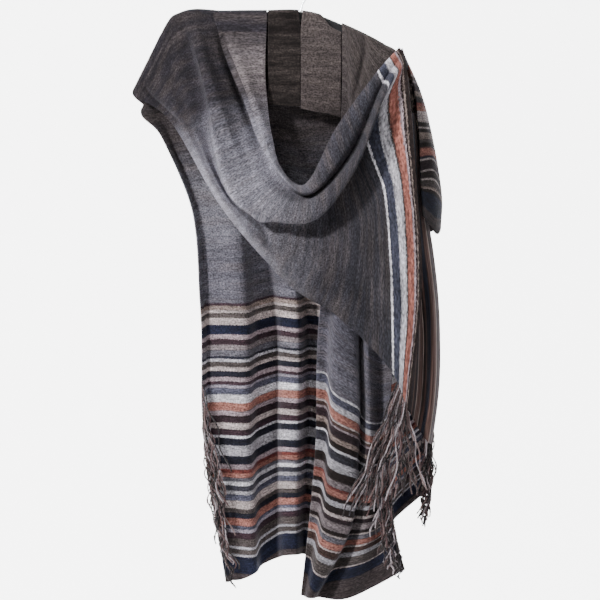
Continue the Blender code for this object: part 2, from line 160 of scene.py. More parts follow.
# Stripes of both fronts, from the white line on
frontStripes = (
    ("white", 4.5), ("slate", 15), ("lightGrey", 14), ("orange", 17), ("cream", 4),
    ("brown", 7), ("pink", 5), ("plum", 15), ("tan", 11), ("darkBrown", 11), ("white", 5),
    ("darkGrey", 17), ("lightGrey", 20), ("darkBrown", 17), ("taupe", 13), ("red", 5),
    ("orange", 13), ("darkBrown", 7), ("lightGrey", 10), ("darkBrown", 13), ("cream", 7),
    ("plum", 9), ("taupe", 17), ("darkBrown", 7), ("cream", 4), ("grey", 10),
    ("orange", 13), ("cream", 4), ("brown", 12), ("lightGrey", 10), ("greyBrown", 22),
    ("cream", 4), ("navy", 28), ("hemBrown", 60),
)

# The first of them again, drawn together along the wrap's edge
wrapStripes = (
    ("white", 3.7), ("denim", 13), ("lightGrey", 11.7), ("greyBrown", 2), ("rust", 10),
    ("pink", 2.8), ("darkBrown", 2.2), ("tan", 1.9), ("darkBrown", 9),
)

# The front's further stripes, where it is folded back beside its first ones
endStripes = (
    ("plum", 13), ("tan", 3), ("darkBrown", 14), ("brown", 5), ("darkBrown", 9), ("tan", 3),
    ("brown", 15), ("tan", 3), ("darkBrown", 6), ("brown", 8), ("darkNavy", 14), ("brown", 16),
    ("tan", 3), ("hemBrown", 21),
)

# The same stripes down the tail, from the shoulder to the hem
tailStripes = frontStripes[:10] + (
    ("red", 6), ("orange", 10), ("cream", 22), ("darkBrown", 9), ("cream", 4),
    ("darkBrown", 7), ("tan", 14), ("greyBrown", 8), ("darkBrown", 10), ("orange", 16),
    ("navy", 6), ("cream", 5), ("plum", 20), ("cream", 4), ("darkBrown", 12), ("cream", 5),
    ("greyBrown", 12), ("tan", 6), ("darkBrown", 6), ("navy", 34), ("hemBrown", 60),
)

dyes = {
    "burgundy": "#35262d", "tan": "#857671", "cream": "#ab9f9e", "greyBrown": "#4b4443",
    "navy": "#1a1d2f", "pink": "#96878d", "taupe": "#796f72", "grey": "#5c5a62",
    "darkNavy": "#1c1d27", "lightGrey": "#a5a2a9", "lavender": "#8f8894", "slate": "#4d4d5c",
    "denim": "#343541", "rust": "#84534a", "white": "#ccc9d0", "orange": "#94645b",
    "plum": "#2e2227", "red": "#6a3632", "darkGrey": "#34333b", "hemBrown": "#3f3738",
    "brown": "#453430", "darkBrown": "#221a19",
}


def darker(colour, share):
    return (*[c * share for c in colour[:3]], 1.0)


def groundColour(tree, along, stops):
    # slow change of colour down the cloth, which also carries painted shade: metres, colour
    low, high = stops[0][0], stops[-1][0]
    share = addNode(tree, "MapRange", {"Value": along, "From Min": low, "From Max": high})
    ramp = addNode(tree, "ValToRGB", {"Fac": share})
    bar = ramp.color_ramp
    bar.elements[0].color = hexColour(stops[0][1])
    bar.elements[1].color = hexColour(stops[-1][1])
    for metres, text in stops[1:-1]:
        bar.elements.new((metres - low) / (high - low)).color = hexColour(text)
    return ramp


def stripeColour(tree, along, stripes, share, colour):
    # a chain of ramps, because one ramp holds only 32 stops, with dark yarn between stripes; share
    # darkens or pales all dyes of a piece, as painted shade and painted light
    edges = np.cumsum([0.0] + [width for name, width in stripes]) / 1000
    feather, perRamp = wool["feather"], 10
    for start in range(0, len(stripes), perRamp):
        group = stripes[start:start + perRamp]
        low, high = float(edges[start]), float(edges[start + len(group)])
        fraction = addNode(tree, "MapRange", {"Value": along, "From Min": low, "From Max": high})
        ramp = addNode(tree, "ValToRGB", {"Fac": fraction})
        bar = ramp.color_ramp
        for index, (name, width) in enumerate(group):
            dye = darker(hexColour(dyes[name]), share)
            begin = float(edges[start + index] - low) / (high - low)
            end = float(edges[start + index + 1] - low) / (high - low)
            soft = feather / (high - low)
            if index:
                bar.elements.new(begin).color = darker(dye, wool["seamShade"])
            first = bar.elements.new(begin + soft) if index else bar.elements[0]
            last = bar.elements.new(end - soft) if index else bar.elements[1]
            last.position = end - soft
            first.color = last.color = dye
        gate = addNode(tree, "MapRange", {
            "Value": along, "From Min": low - feather, "From Max": low + feather})
        colour = addNode(tree, "Mix", {"Factor": gate, 6: colour, 7: ramp},
                         data_type="RGBA").outputs[2]
    return colour


# Brushed wool blend, woven in a plain heathered weave: matt, with pale fibres that catch light
def woolMaterial(name, look, stripes=()):
    material, tree, shader = startMaterial(name)
    place = addNode(tree, "UVMap", uv_map="cloth")
    parts = addNode(tree, "SeparateXYZ", {"Vector": place})
    across, along = parts.outputs[0], parts.outputs[1]
    noises = {}
    for part, (acrossSize, alongSize, detail, lift) in wool["noises"].items():
        scaled = addNode(tree, "Mapping", {
            "Vector": place, "Scale": (1 / acrossSize, 1 / alongSize, 1.0),
            "Location": (lift, lift, 0.0)})
        noises[part] = addNode(tree, "TexNoise", {
            "Vector": scaled, "Scale": 1.0, "Detail": detail, "Roughness": 0.6},
            noise_dimensions="2D")
    strays = addNode(tree, "Math", {0: noises["fibres"], 1: 2 * wool["fuzz"], 2: -wool["fuzz"]},
                     operation="MULTIPLY_ADD")
    waver = addNode(tree, "Math", {0: noises["waver"], 1: wool["waver"], 2: -wool["waver"] / 2},
                    operation="MULTIPLY_ADD")
    moved = addNode(tree, "Math", {0: strays, 1: waver}, operation="ADD")
    strayed = addNode(tree, "Math", {0: along, 1: moved}, operation="ADD")

    # the ground's colour changes down the cloth, on the back as painted shade at the neck, and its
    # rows differ a little
    drift = addNode(tree, "Math", {0: strays, 1: wool["groundStray"], 2: along},
                    operation="MULTIPLY_ADD")
    colour = groundColour(tree, drift, look["grounds"])
    low, high = wool["warmRange"]
    warm = addNode(tree, "MapRange", {
        "Value": noises["warm"], "From Min": low, "From Max": high, "To Max": wool["warmShare"]})
    colour = addNode(tree, "Mix", {"Factor": warm, 6: colour, 7: hexColour(wool["warm"])},
                     data_type="RGBA").outputs[2]
    if "strip" in look:
        # a paler, warmer band along the edge by the neck: width, where it fades along the cloth,
        # colour
        width, full, faded, text = look["strip"]
        inner, outer = wool["stripBlend"]
        near = 1.0
        for value, low, high, least, most in (
                (across, width + inner, width + outer, 1.0, 0.0),
                (along, full - wool["stripRise"], full, 0.0, wool["stripShare"]),
                (along, full, faded, 1.0, 0.0)):
            fade = addNode(tree, "MapRange", {
                "Value": value, "From Min": low, "From Max": high,
                "To Min": least, "To Max": most})
            near = addNode(tree, "Math", {0: near, 1: fade}, operation="MULTIPLY")
        colour = addNode(tree, "Mix", {"Factor": near, 6: colour, 7: hexColour(text)},
                         data_type="RGBA").outputs[2]
    if stripes:
        colour = stripeColour(tree, strayed, stripes, look["share"], colour)
    if "selvedge" in look:
        start = look["selvedge"]
        pale, dark = (hexColour(text) for text in wool["ribColours"])
        turns = addNode(tree, "Math", {0: across, 1: 2 * math.pi / wool["rib"]},
                        operation="MULTIPLY")
        ribs = addNode(tree, "Math", {0: turns}, operation="SINE")
        low, high = wool["ribRange"]
        share = addNode(tree, "MapRange", {"Value": ribs, "From Min": low, "From Max": high})
        ribbed = addNode(tree, "Mix", {"Factor": share, 6: pale, 7: dark},
                         data_type="RGBA").outputs[2]
        gate = addNode(tree, "MapRange", {
            "Value": across, "From Min": start, "From Max": start + wool["selvedgeBlend"]})
        colour = addNode(tree, "Mix", {"Factor": gate, 6: colour, 7: ribbed},
                         data_type="RGBA").outputs[2]

    # heather: pale and dark fibres carded together, drawn out along the weft
    low, high = wool["noiseRange"]
    # the tone starts paler at a sheet's first edge by the look's rim: a painted highlight along the
    # slit edge
    tone = addNode(tree, "MapRange", {
        "Value": across, "From Max": wool["edgeHighlightWidth"], "To Min": look.get("rim", 1.0)})
    for part, depth in wool["depths"].items():
        spread = addNode(tree, "MapRange", {
            "Value": noises[part], "From Min": low, "From Max": high,
            "To Min": 1 - depth, "To Max": 1 + depth})
        tone = addNode(tree, "Math", {0: tone, 1: spread}, operation="MULTIPLY")
    colour = addNode(tree, "VectorMath", {0: colour, 1: tone}, operation="MULTIPLY")

    # the weave's rows and the raised nap
    weave = wool["weaveHeight"]
    for value in (along, across):
        turns = addNode(tree, "Math", {0: value, 1: 2 * math.pi / wool["yarnSpacing"]},
                        operation="MULTIPLY")
        wave = addNode(tree, "Math", {0: turns}, operation="SINE")
        weave = addNode(tree, "Math", {0: weave, 1: wave}, operation="MULTIPLY")
    height = addNode(tree, "Math", {0: noises["fibres"], 1: wool["napHeight"], 2: weave},
                     operation="MULTIPLY_ADD")
    bump = addNode(tree, "Bump", {
        "Height": height, "Strength": wool["bumpStrength"], "Distance": wool["bump"]})
    setInputs(tree, shader, {
        "Base Color": colour, "Normal": bump, "Roughness": wool["roughness"],
        "Specular IOR Level": wool["specular"], "Sheen Weight": wool["sheen"],
        "Sheen Roughness": wool["sheenRoughness"], "Sheen Tint": hexColour(wool["sheenTint"])})
    return material


def spline(knots, values, at):
    # smooth curve through values at knots
    knots = np.asarray(knots, float)
    values = np.asarray(values, float)
    at = np.asarray(at, float)
    gap = np.diff(knots).reshape((-1,) + (1,) * (values.ndim - 1))
    slope = np.diff(values, axis=0) / gap
    tangent = np.empty_like(values)
    tangent[0], tangent[-1] = slope[0], slope[-1]
    tangent[1:-1] = (slope[:-1] * gap[1:] + slope[1:] * gap[:-1]) / (gap[1:] + gap[:-1])
    i = np.clip(np.searchsorted(knots, at, side="right") - 1, 0, len(knots) - 2)
    shape = (-1,) + (1,) * (values.ndim - 1)
    t = ((at - knots[i]) / (knots[i + 1] - knots[i])).reshape(shape)
    h = gap[i]
    return ((2 * t**3 - 3 * t**2 + 1) * values[i] + (t**3 - 2 * t**2 + t) * h * tangent[i]
            + (-2 * t**3 + 3 * t**2) * values[i + 1] + (t**3 - t**2) * h * tangent[i + 1])


def shoulderDepth(x):
    line = np.array(shoulderLine, float)
    return spline(line[:, 0], line[:, 1], np.asarray(x, float).ravel())


def softStep(x, start, end):
    t = np.clip((np.asarray(x, float) - start) / (end - start), 0.0, 1.0)
    return t * t * (3 - 2 * t)


def place(points):
    # drawing units to metres
    x, d, f = np.moveaxis(np.asarray(points, float), -1, 0)
    return np.stack([x, -f, -d], axis=-1) * unit


def loft(lines, stations, columns, rows):
    # rows run from the first station to the last, columns from the first line to the last
    lines = np.asarray(lines, float)
    down = spline(stations, np.moveaxis(lines, 0, 1), np.linspace(0, 1, rows + 1))
    middle = np.linalg.norm(np.diff(lines[:, :, :3], axis=0), axis=2).mean(axis=1)
    across = np.concatenate([[0.0], np.cumsum(middle)]) / middle.sum()
    grid = spline(across, np.moveaxis(down, 1, 0), np.linspace(0, 1, columns + 1))
    return np.moveaxis(grid, 0, 1)


def crestStart(x, overNeck):
    gap = math.degrees(crestGap / 2 / crestRadius)
    if not overNeck:
        return np.full(np.shape(x), gap)
    left, right, ramp = neckSeam["left"], neckSeam["right"], neckSeam["ramp"]
    atNeck = softStep(x, left - ramp, left + ramp) * (1 - softStep(x, right - ramp, right + ramp))
    return gap + (neckSeam["degrees"] - gap) * atNeck


def overCrest(grid, side, startDegrees, drop=0.0):
    # the rows that bend over the hanger, before a grid that hangs from its side
    radius = crestRadius / unit
    x = grid[0, :, 0]
    crest = shoulderDepth(x) + drop
    shift = crest + radius - grid[0, :, 1]
    grid[:, :, 1] += shift * np.linspace(1, 0, len(grid))[:, None] ** 4
    grid[0, :, 2] = side * radius
    rows = []
    for step in range(arcSteps):
        angle = np.radians(startDegrees + (90.0 - startDegrees) * step / arcSteps)
        f = side * radius * np.sin(angle)
        row = np.stack([x, crest + radius * (1 - np.cos(angle)), f], axis=-1)
        rows.append(np.concatenate([row, grid[0, :, 3:]], axis=1))
    return np.concatenate([np.array(rows), grid], axis=0)


# Stripes keep their first lag down to this depth
lagFrom = 340.0


def hungLines(folds, levels, side):
    # a fold table to lines of x, d, f and how far stripes lag, from the shoulder to the hem
    count = len(levels)
    lines = []
    for row in folds:
        x = row[1:count + 3]
        f = row[count + 4:2 * count + 5]
        lag = row[2 * count + 5:] or (0, 0)
        top = float(shoulderDepth(x[0])[0]) + crestRadius / unit
        d = [top, *levels, row[count + 3]]
        lags = np.interp(d, (d[0], lagFrom, d[-1]), (lag[0], lag[0], lag[1]))
        lines.append(list(zip(x, d, (side * crestRadius / unit, *f), lags)))
    stops = np.array([40.0, *levels, np.mean([row[count + 3] for row in folds])])
    return lines, (stops - stops[0]) / (stops[-1] - stops[0])


pressing = {"samples": 60, "taper": 0.7}


def pressCreases(points, creases):
    # soft troughs, or ridges where the depth is negative: name, depth, width, then x, d points
    x, d = points[..., 0], points[..., 1]
    side = np.gradient(points[..., :3], axis=1)
    down = np.gradient(points[..., :3], axis=0)
    normal = np.cross(side, down)
    normal /= np.linalg.norm(normal, axis=-1)[..., None] + 1e-9
    normal *= np.sign(normal[..., 2:3] + 1e-9)
    move = np.zeros(x.shape)
    for name, depth, width, *line in creases:
        line = np.array(line, float)
        knots = np.linspace(0, 1, len(line))
        path = spline(knots, line, np.linspace(0, 1, pressing["samples"]))
        away = np.hypot(x[..., None] - path[:, 0], d[..., None] - path[:, 1])
        nearest = away.argmin(axis=-1)
        distance = away.min(axis=-1)
        share = nearest / (len(path) - 1)
        taper = np.sin(np.pi * np.clip(share, 0.0, 1.0)) ** pressing["taper"]
        move -= depth * taper * np.exp(-(distance / width) ** 2)
    points[..., :3] += normal * move[..., None]
    return points


def bulge(points, column, centre, reach, move):
    # pushes an edge of a sheet out near one depth: x and f moves, fading inwards
    away = np.abs(np.arange(points.shape[1]) - column % points.shape[1]) / reach[1]
    near = np.exp(-((points[..., 1] - centre) / reach[0]) ** 2) * np.exp(-away ** 2)
    points[..., 0] += near * move[0]
    points[..., 2] += near * move[1]


def makeSheet(name, points, along, material):
    # a wall of cloth over a grid of points, with a map in metres of flat cloth
    rows, columns = points.shape[0] - 1, points.shape[1] - 1
    metres = place(points[..., :3])
    number = np.arange((rows + 1) * (columns + 1)).reshape(rows + 1, columns + 1)
    faces = np.stack([number[:-1, :-1], number[1:, :-1], number[1:, 1:], number[:-1, 1:]],
                     axis=-1).reshape(-1, 4)
    mesh = bpy.data.meshes.new(name)
    mesh.from_pydata(metres.reshape(-1, 3).tolist(), [], faces.tolist())
    steps = np.linalg.norm(np.diff(metres, axis=1), axis=2).mean(axis=0)
    across = np.concatenate([[0.0], np.cumsum(steps)])
    flat = np.stack([np.broadcast_to(across, along.shape), along], axis=-1).reshape(-1, 2)
    layer = mesh.uv_layers.new(name="cloth")
    corners = np.empty(len(mesh.loops), int)
    mesh.loops.foreach_get("vertex_index", corners)
    layer.data.foreach_set("uv", flat[corners].astype(np.float32).ravel())
    piece = addObject(name, mesh)
    mesh.materials.append(material)
    solid = piece.modifiers.new("wall", "SOLIDIFY")
    solid.thickness = shownWall["thickness"]
    solid.offset = 0.0
    rim = piece.modifiers.new("round edge", "BEVEL")
    rim.width = shownWall["thickness"] * shownWall["rimShare"]
    rim.segments = shownWall["rimSegments"]
    rim.limit_method = "ANGLE"
    rim.angle_limit = math.radians(shownWall["rimAngle"])
    applyModifiers(piece)
    bpy.ops.object.shade_smooth()
    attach(piece, "root")
    width = round(float(across[-1]), 3)
    print("sheet", name, width, "m wide,", len(piece.data.polygons), "faces")
    return piece


def flowLength(points):
    # metres along the middle of a grid, row by row
    metres = place(points[..., :3])
    steps = np.linalg.norm(np.diff(metres, axis=0), axis=2).mean(axis=1)
    return np.concatenate([[0.0], np.cumsum(steps)])


# Back panel. Columns: fold, x at shoulder, blade, ribs, waist, thigh and hem, d of the hem,
# f at blade, ribs, waist, thigh and hem, how far its stripes lag at the first one and the hem
backPanel = {
    "columns": 150, "rows": 180, "levels": (177, 227, 327, 477),
    "firstStripe": 330.0,   # d of the first stripe
    "look": {
        # the ground darkens to brown towards the neck: painted shade under the wrap
        "grounds": ((-0.55, "#2a2526"), (-0.31, "#353032"), (-0.26, "#4a474d"), (-0.20, "#67656d"),
                    (-0.14, "#66646d"), (-0.07, "#55535c"), (0.0, "#56545d")),
        "share": 1.0, "selvedge": 0.572,
    },
    "folds": (
        ("arm edge left", -175, -140, -118, -108, -103, -82, 610, -6, -9, -10, -10, -7, 4, 3),
        ("edge curl", -169, -136.5, -115.5, -105.5, -100.5, -79.5, 610, -9, -11, -13, -13, -10, 3, 2),
        ("nick", -162, -133.5, -112.5, -103.0, -98.0, -77, 609, -13, -16, -18, -18, -14, 1, 0),
        ("face left", -152, -122, -102, -92, -87, -69, 608, -12, -15, -14, -13, -10, 0, 0),
        ("face right", -122, -92, -75, -62, -59, -52, 600, -12, -12, -10, -9, -8, 0, 0),
        ("slope", -108, -79, -63, -52, -50, -46, 594, -17, -24, -34, -36, -26, -4, -9),
        ("valley", -96, -68, -50, -36, -34, -32, 588, -20, -28, -40, -42, -30, -8, -19),
        ("rib left", -80, -56, -41, -27, -25, -23, 584, -16, -18, -21, -20, -15, -7, -24),
        ("rib right", -66, -45, -29, -13, -12, -13, 583, -13, -14, -14, -13, -11, -5, -25),
        ("recess", -46, -30, -15, -1, 0, -4, 584, -20, -29, -41, -43, -30, -9, -26),
        ("inner crest", -18, -6, 8, 26, 24, 16, 590, -14, -15, -17, -16, -12, -5, -20),
        ("inner valley", 12, 20, 34, 50, 48, 38, 592, -19, -28, -38, -40, -32, -6, -18),
        ("outer crest", 42, 48, 60, 74, 74, 60, 580, -15, -17, -18, -17, -14, -8, -30),
        ("outer valley", 76, 80, 86, 98, 100, 88, 548, -19, -28, -36, -36, -30, -12, -62),
        ("arm edge right", 106, 114, 117, 121, 123, 122, 517, -10, -13, -16, -18, -16, -16, -93),
    ),
    "creases": (
        ("blade fold", 2.6, 5.0, (-128, 190), (-112, 240), (-104, 300), (-102, 360)),
    ),
    # the arm edge curls: depth, reach down and in columns, moves in x and f
    "curls": ((144, (9, 6), (-7, 5)), (131, (4, 5), (4, -2))),
}


def makeBack(material):
    size = backPanel
    lines, stations = hungLines(size["folds"], size["levels"], -1)
    grid = loft(lines, stations, size["columns"], size["rows"])
    grid = overCrest(grid, -1, crestStart(grid[0, :, 0], True))
    pressCreases(grid, size["creases"])
    for curl in size["curls"]:
        bulge(grid, 0, *curl)
    along = (grid[..., 1] - grid[..., 3] - size["firstStripe"]) * unit
    piece = makeSheet("backPanel", grid, along, material)
    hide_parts("back_panel")
    return piece, grid


# Front under the wrap. Columns: fold, x at shoulder, chest, ribs, waist, thigh, shin and hem,
# d of the hem, f at chest, ribs, waist, thigh, shin and hem, then the two lags
rightFront = {
    "columns": 72, "rows": 180, "levels": (147, 247, 357, 477, 557),
    "firstStripe": 397.0,
    "look": {
        "grounds": ((-0.70, "#3f3938"), (-0.48, "#332e2f"), (-0.2, "#45434c"), (0.0, "#48464e")),
        # share paints the stripes darker, as painted shade, and rim paints the slit edge paler, as a
        # painted highlight
        "share": 0.62, "rim": 1.35,
    },
    "folds": (
        ("slit edge", 34, 33, 23, 10, 7, 0, -7, 619, 6, 12, 19, 22, 26, 28, 0, 0),
        ("slit strip", 37, 38, 30, 19, 16, 7, -4, 620, 5, 10, 17, 20, 24, 27, 2, 3),
        ("main fold", 42, 44, 37, 26, 23, 15, 0, 621, 9, 18, 32, 36, 38, 37, 22, 14),
        ("main fold edge", 50, 53, 50, 47, 47, 38, 6, 621, 8, 17, 28, 31, 34, 35, 43, 18),
        ("deep valley", 55, 57, 53, 51, 51, 42, 10, 622, 6, 9, 11, 12, 14, 19, 60, 10),
        ("second fold", 63, 66, 61, 58, 60, 56, 34, 623, 8, 15, 26, 28, 30, 31, 80, 0),
        ("back fold", 76, 78, 74, 71, 72, 72, 64, 612, 6, 9, 15, 16, 19, 22, 92, -12),
        ("arm edge", 90, 89, 88, 86, 80, 86, 96, 594, 6, 10, 20, 22, 26, 26, 96, -30),
    ),
    "creases": (
        ("neck fold", 2.6, 3.2, (57, 56), (57, 80), (51, 108), (44, 132)),
    ),
}


def makeFront(material):
    size = rightFront
    lines, stations = hungLines(size["folds"], size["levels"], 1)
    grid = loft(lines, stations, size["columns"], size["rows"])
    grid = overCrest(grid, 1, crestStart(grid[0, :, 0], False))
    pressCreases(grid, size["creases"])
    along = (grid[..., 1] - grid[..., 3] - size["firstStripe"]) * unit
    piece = makeSheet("rightFront", grid, along, material)
    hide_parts("right_front")
    return piece, grid


# Front thrown across the chest, as lines from the left shoulder to the right one.
# Columns: line, shoulder x, then x, d, f at each station
wrapPanel = {
    "columns": 130, "rows": 190,
    "stations": (0.0, 0.2, 0.38, 0.5, 0.68, 0.86, 1.0),
    "stripeStation": 0.86, "endWidth": 0.052,
    "look": {
        "grounds": ((-0.66, "#232025"), (-0.55, "#2f2c32"), (-0.48, "#6f6d77"), (-0.38, "#84828d"),
                    (-0.27, "#56545b"), (-0.17, "#2f2d33"), (-0.07, "#28272d"), (0.0, "#2d2c32")),
        # share paints the stripes paler, as painted light, and rim paints the slit edge paler, as a
        # painted highlight
        "share": 1.1, "rim": 1.5, "strip": (0.046, -0.60, -0.44, "#6f6768"),
    },
    "lines": (
        ("slit edge", -41, (-42, 117, 9), (-29, 193, 24), (-6, 214, 31), (29, 155, 25),
         (69, 100, 15), (91, 75, 3.5)),
        ("band", -68, (-54, 117, 17), (-29, 196, 32), (-5, 218, 38), (33, 168, 33),
         (70, 103, 18), (92, 76, 4.5)),
        ("band edge", -94, (-64, 118, 20), (-30, 200, 36), (-3, 222, 40), (37, 181, 35),
         (72, 108, 19), (93, 78, 5.5)),
        ("groove", -92, (-62, 119, 5), (-30, 203, 19), (-4, 224, 24), (40, 184, 23),
         (74, 112, 17), (95, 81, 6.0)),
        ("second roll", -103, (-77, 122, 8), (-45, 216, 28), (-6, 233, 43), (46, 187, 40),
         (76, 112, 21), (96, 84, 8.5)),
        ("roll ridge", -117, (-99, 129, 26), (-66, 232, 45), (-9, 251, 50), (42, 206, 47),
         (78, 119, 27), (97, 90, 12)),
        ("shadow", -126, (-105, 134, 12), (-68, 234, 27), (-9, 249, 30), (37, 204, 28),
         (60, 152, 14), (99, 102, 14)),
        ("upper fall", -143, (-119, 142, 13), (-71, 239, 31), (-13, 278, 38), (46, 256, 35),
         (75, 222, 30), (107, 205, 29)),
        ("lower fall", -160, (-127, 148, 14), (-75, 242, 32), (-20, 297, 44), (40, 314, 45),
         (81, 312, 42), (112, 317, 37)),
        ("arm edge", -175, (-134, 153, 8), (-79, 244, 24), (-25, 306, 37), (32, 345, 38),
         (83, 399, 39), (99, 437, 34)),
    ),
    "creases": (
        ("dent under the second roll", 5.0, 7.0, (-58, 226), (-46, 246), (-38, 268), (-32, 292)),
        ("pleat", 6.0, 5.5, (-92, 50), (-73, 102), (-56, 146), (-36, 192)),
        ("pleat lip", -3.4, 4.5, (-80, 52), (-64, 104), (-48, 148), (-31, 190)),
        ("left ridge", -3.6, 4.0, (-113, 48), (-104, 88), (-93, 124), (-78, 166), (-60, 206)),
        ("left hollow", 4.0, 6.0, (-122, 64), (-112, 100), (-100, 136), (-84, 176)),
        ("shoulder fold", 2.4, 7.0, (-146, 66), (-132, 106), (-116, 146), (-92, 196)),
        ("arm edge roll", 4.2, 3.0, (-168, 108), (-158, 122), (-146, 134), (-126, 152)),
        ("flap drape", 2.8, 10.0, (0, 262), (40, 300), (72, 350), (88, 395)),
        ("flap ridge", -2.8, 10.0, (16, 250), (60, 282), (92, 340), (99, 392)),
    ),
}


def wrapLines():
    lines = []
    for row in wrapPanel["lines"]:
        top = float(shoulderDepth(row[1])[0]) + crestRadius / unit
        lines.append([(row[1], top, crestRadius / unit), *row[2:]])
    return lines


def makeWrap(material):
    size = wrapPanel
    grid = loft(wrapLines(), size["stations"], size["columns"], size["rows"])
    rows = len(grid)
    grid = overCrest(grid, 1, crestStart(grid[0, :, 0], False))
    pressCreases(grid, size["creases"])
    flow = flowLength(grid)
    share = np.concatenate([np.zeros(arcSteps), np.linspace(0, 1, rows)])
    begin = np.interp(size["stripeStation"], share[arcSteps:], flow[arcSteps:])
    striped = (share - size["stripeStation"]) / (1 - size["stripeStation"]) * size["endWidth"]
    along = np.where(share > size["stripeStation"], striped, flow - begin)
    along = np.broadcast_to(along[:, None], grid.shape[:2])
    piece = makeSheet("wrapPanel", grid, along, material)
    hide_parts("wrap_panel")
    return piece, grid


# The wrap's end, folded back behind its striped edge. Columns: line, then x, d, f
wrapEnd = {
    "columns": 30, "rows": 80,
    "stations": (0.0, 0.15, 0.3, 0.45, 0.7, 0.9, 1.0),
    "tuck": 0.97, "tuckSamples": 200, "tuckEnd": 8,
    # share paints the stripes paler: painted light where the end lies in shade
    "look": {"grounds": ((-0.1, "#3a2d2c"), (0.0, "#3a2d2c")), "share": 1.1},
    "lines": (
        ("recess", (103, 140, 9), (105, 177, 9), (107, 227, 8), (111, 277, 11),
         (116, 357, 18), (116, 427, 18), (113, 460, 20)),
        ("face", (105, 140, 4), (109, 177, 3), (113, 227, 0), (119, 277, 6),
         (123, 357, 25), (122, 427, 24), (118, 467, 24)),
        ("hem", (106, 140, 0), (112, 177, -2), (117, 227, -7), (125, 277, -1),
         (131, 357, 14), (129, 427, 14), (123, 471, 14)),
    ),
}


def tuckedLine():
    # the wrap's own line near its striped edge, moved back by a wall and a gap
    rows = wrapEnd["tuckSamples"]
    grid = loft(wrapLines(), wrapPanel["stations"], rows, rows)
    at = round(wrapEnd["tuck"] * rows)
    line, inner = grid[at], grid[at - 2]
    normal = np.cross(line - inner, np.gradient(line, axis=0))
    normal /= np.linalg.norm(normal, axis=1)[:, None]
    normal *= -np.sign(normal[:, 2])[:, None]
    moved = line + normal * (clothWall + seamGap) / unit
    recess = wrapEnd["lines"][0]
    last = recess[-1][1] - wrapEnd["tuckEnd"]
    depths = np.interp(wrapEnd["stations"], (0, 1), (recess[1][1], last))
    return [[np.interp(d, moved[:, 1], moved[:, k]) for k in range(3)] for d in depths]


def makeEnd(material):
    size = wrapEnd
    lines = [tuckedLine(), *(row[1:] for row in size["lines"])]
    grid = loft(lines, size["stations"], size["columns"], size["rows"])
    metres = place(grid)
    steps = np.linalg.norm(np.diff(metres, axis=1), axis=2)
    across = np.concatenate([np.zeros((len(grid), 1)), np.cumsum(steps, axis=1)], axis=1)
    hem = sum(width for name, width in endStripes) / 1000
    along = across / across[:, -1:] * hem
    piece = makeSheet("wrapEnd", grid, along, material)
    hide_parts("wrap_end")
    return piece


# The wrap's tail over the right shoulder and down the back. Columns as above
wrapTail = {
    "columns": 60, "rows": 72,
    "stations": (0.0, 0.2, 0.45, 0.75, 1.0),
    "length": 0.345,
    # share paints the stripes darker: painted shade on the tail
    "look": {"grounds": ((-0.1, "#4f4d55"), (0.0, "#4f4d55")), "share": 0.42},
    "lines": (
        ("front edge", (94, 75.5, 1.8), (105, 112, 7), (110, 157, 12), (112, 207, 15),
         (114, 243, 17)),
        ("side front", (93.5, 76, 0.4), (109, 113, 2), (119, 157, 6), (126, 207, 6),
         (128, 261, 6)),
        ("side", (93, 77, -1.5), (111, 115, -6), (123, 157, -8), (134, 222, -10),
         (133, 253, -10)),
        ("back side", (92, 79, -4), (104, 113, -16), (116, 157, -25), (124, 207, -31),
         (122, 259, -33)),
        ("back", (90, 81, -6.1), (88, 107, -21), (90, 157, -38), (94, 207, -43),
         (92, 263, -45)),
        ("inner back", (87, 82, -6.2), (70, 103, -21), (60, 157, -35), (56, 207, -40),
         (54, 259, -41)),
        ("inner edge", (83, 82, -6.2), (54, 99, -19), (32, 152, -36), (22, 202, -42),
         (17, 249, -42)),
    ),
}


def makeTail(material):
    size = wrapTail
    grid = loft([row[1:] for row in size["lines"]], size["stations"], size["columns"], size["rows"])
    share = np.linspace(0, 1, len(grid))[:, None]
    along = np.broadcast_to(share * size["length"], grid.shape[:2])
    piece = makeSheet("wrapTail", grid, along, material)
    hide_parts("wrap_tail")
    return piece


# Turned-over neck edge in two pieces. Columns: line, x at shoulder, hanger, middle and hem, d
# of the hem, f at hanger, middle and hem, how far the top edge has slid forward over the hanger
neckEdge = {
    "levels": (52, 87), "columns": 24, "rows": 40,
    "steepest": 84.0,   # degrees round the hanger at which the slid top edge may start
    "leftLook": {"grounds": ((0.0, "#120d0c"), (0.2, "#171211"))},
    "rightLook": {"grounds": ((0.0, "#453e3d"), (0.2, "#393232"))},
    "left": (
        ("outer", -40, -40, -40, -39.5, 132, 4.9, 4.8, 4.6, 0),
        ("middle", -24, -24, -24, -24, 133, 5.0, 5.2, 5.2, 0),
        ("inner", -9.2, -8.0, -7.8, -7.7, 134, 4.8, 4.9, 4.8, 0),
    ),
    "right": (
        ("inner", -5.8, -7.0, -7.2, -7.2, 136, 4.8, 4.9, 4.8, 0),
        ("middle", 8, 8, 8, 8, 139, 5.3, 5.2, 5.0, 0),
        ("outer", 20, 20, 20, 20, 141, 5.2, 4.7, 4.6, 12.5),
        ("shoulder", 32.2, 32.8, 33.0, 32.4, 144, 4.8, 4.2, 4.0, 23),
    ),
}


def makeNeckEdge(side, node, material):
    size = neckEdge
    folds = size[side]
    lines, stations = hungLines([(*row[:-1], 0, 0) for row in folds], size["levels"], 1)
    grid = loft(lines, stations, size["columns"], size["rows"])
    slid = np.interp(grid[0, :, 0], [row[1] for row in folds], [row[-1] for row in folds])
    behind = neckSeam["lap"] - neckSeam["degrees"]
    angle = behind + np.degrees(slid * unit / crestRadius)
    drop = np.radians(angle - 90.0).clip(0.0) * crestRadius / unit
    grid = overCrest(grid, 1, angle.clip(behind, size["steepest"]), drop)
    along = np.broadcast_to(flowLength(grid)[:, None], grid.shape[:2])
    piece = makeSheet("neckEdge" + side.capitalize(), grid, along, material)
    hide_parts(node)
    return piece


